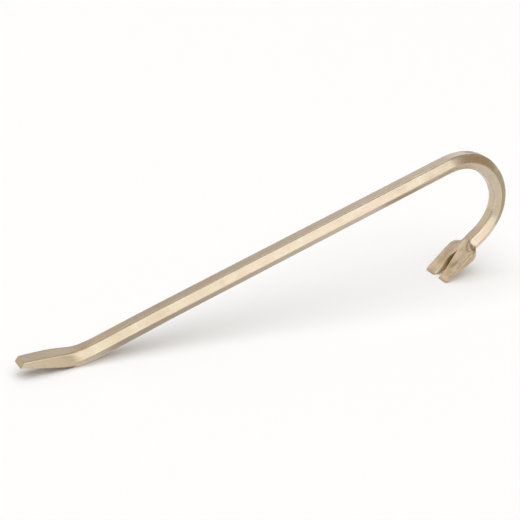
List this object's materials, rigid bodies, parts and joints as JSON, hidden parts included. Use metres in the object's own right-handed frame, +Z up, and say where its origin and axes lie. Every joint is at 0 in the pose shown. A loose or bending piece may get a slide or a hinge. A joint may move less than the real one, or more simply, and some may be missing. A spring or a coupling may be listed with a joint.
{
  "type": "pry bar",
  "caption": "Hexagonal gooseneck pry bar: straight shank, bevelled chisel blade at one end, curved neck ending in a V-slotted nail claw at the other.",
  "frame": {"origin": "under the middle of the bar's box, on the surface that the heel and the claw tips stand on", "axes": "+X from the chisel blade to the gooseneck, along the bar; +Y across the bar; +Z up, with the gooseneck arched over the claw"},
  "size_m": [0.5938, 0.0392, 0.152],
  "materials": {
    "forged_bronze": "satin, forged and dressed aluminium bronze with no coating"
  },
  "bodies": {
    "root": {"chisel_blade": "forged_bronze", "heel_bend": "forged_bronze", "shank": "forged_bronze", "gooseneck": "forged_bronze", "nail_claw": "forged_bronze"}
  },
  "joints": []
}
